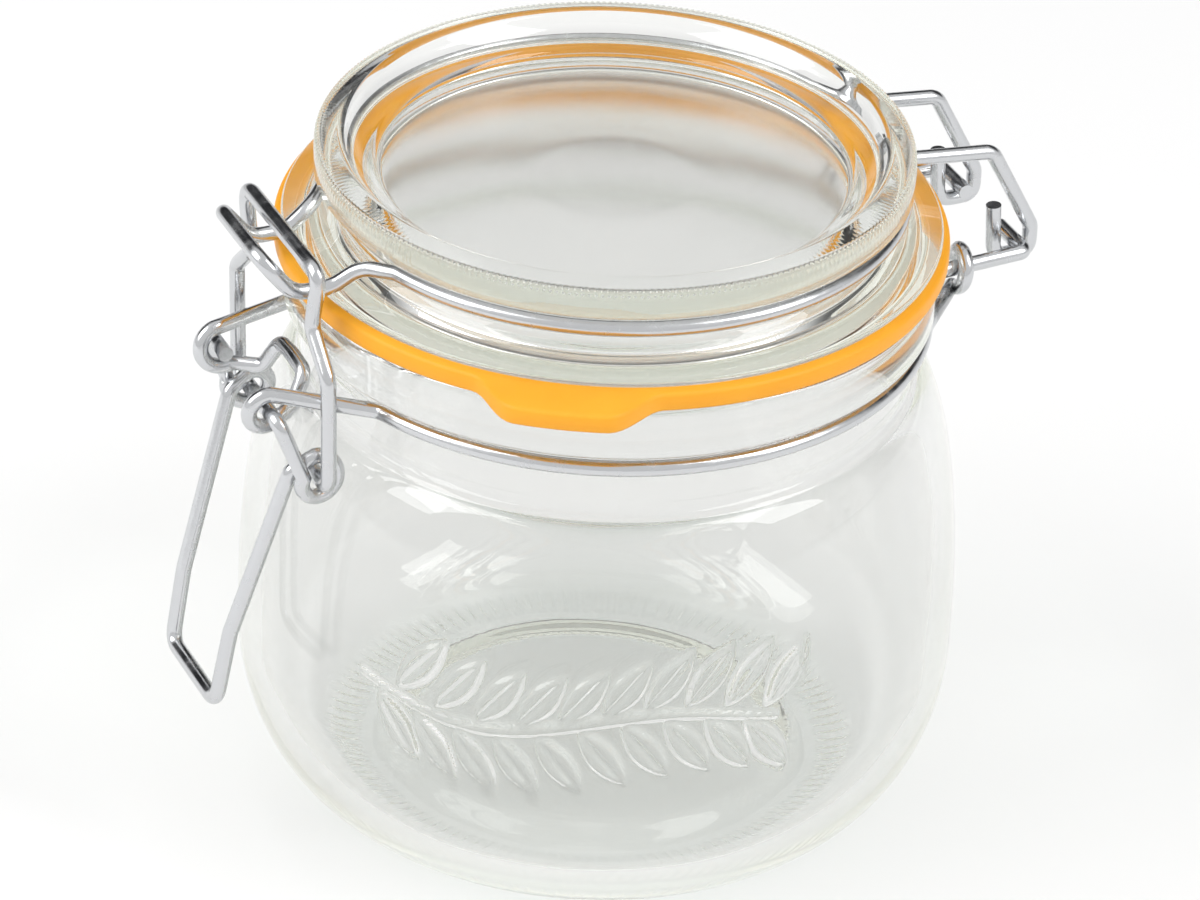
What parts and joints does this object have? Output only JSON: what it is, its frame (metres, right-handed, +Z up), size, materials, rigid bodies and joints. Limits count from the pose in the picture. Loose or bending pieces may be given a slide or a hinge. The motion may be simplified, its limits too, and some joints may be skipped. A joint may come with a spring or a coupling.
{
  "type": "preserving jar",
  "caption": "Round clear glass preserving jar with a glass lid, an orange rubber ring and a wire lever closure, empty and shut.",
  "frame": {"origin": "on the surface that the jar stands on, at the centre of its base", "axes": "+Z up along the jar's axis, +X from the lever towards the lid's hinge, +Y completes a right-handed frame"},
  "size_m": [0.1312, 0.1072, 0.1057],
  "materials": {
    "clear_glass": "polished",
    "orange_rubber": "satin",
    "plated_wire": "bright plated"
  },
  "bodies": {
    "jar": {"glass_jar": "clear_glass", "glass_lid": "clear_glass", "rubber_ring": "orange_rubber", "neck_wire": "plated_wire", "hinge_wire": "plated_wire", "lid_wire": "plated_wire"},
    "lever": {"lever_wire": "plated_wire"},
    "link": {"link_wire": "plated_wire"}
  },
  "joints": [
    {"name": "lever_swing", "type": "hinge", "parent": "jar", "child": "lever", "pos_m": [-0.0572, 0, 0.0777], "axis": [0, 1, 0], "range_deg": [0, 100]},
    {"name": "link_swing", "type": "hinge", "parent": "lever", "child": "link", "pos_m": [-0.051, 0, 0.0676], "axis": [0, 1, 0], "range_deg": [-65, 0]}
  ],
  "couplings": [
    {"joint": "link_swing", "follows": "lever_swing", "ratio": -0.65}
  ]
}
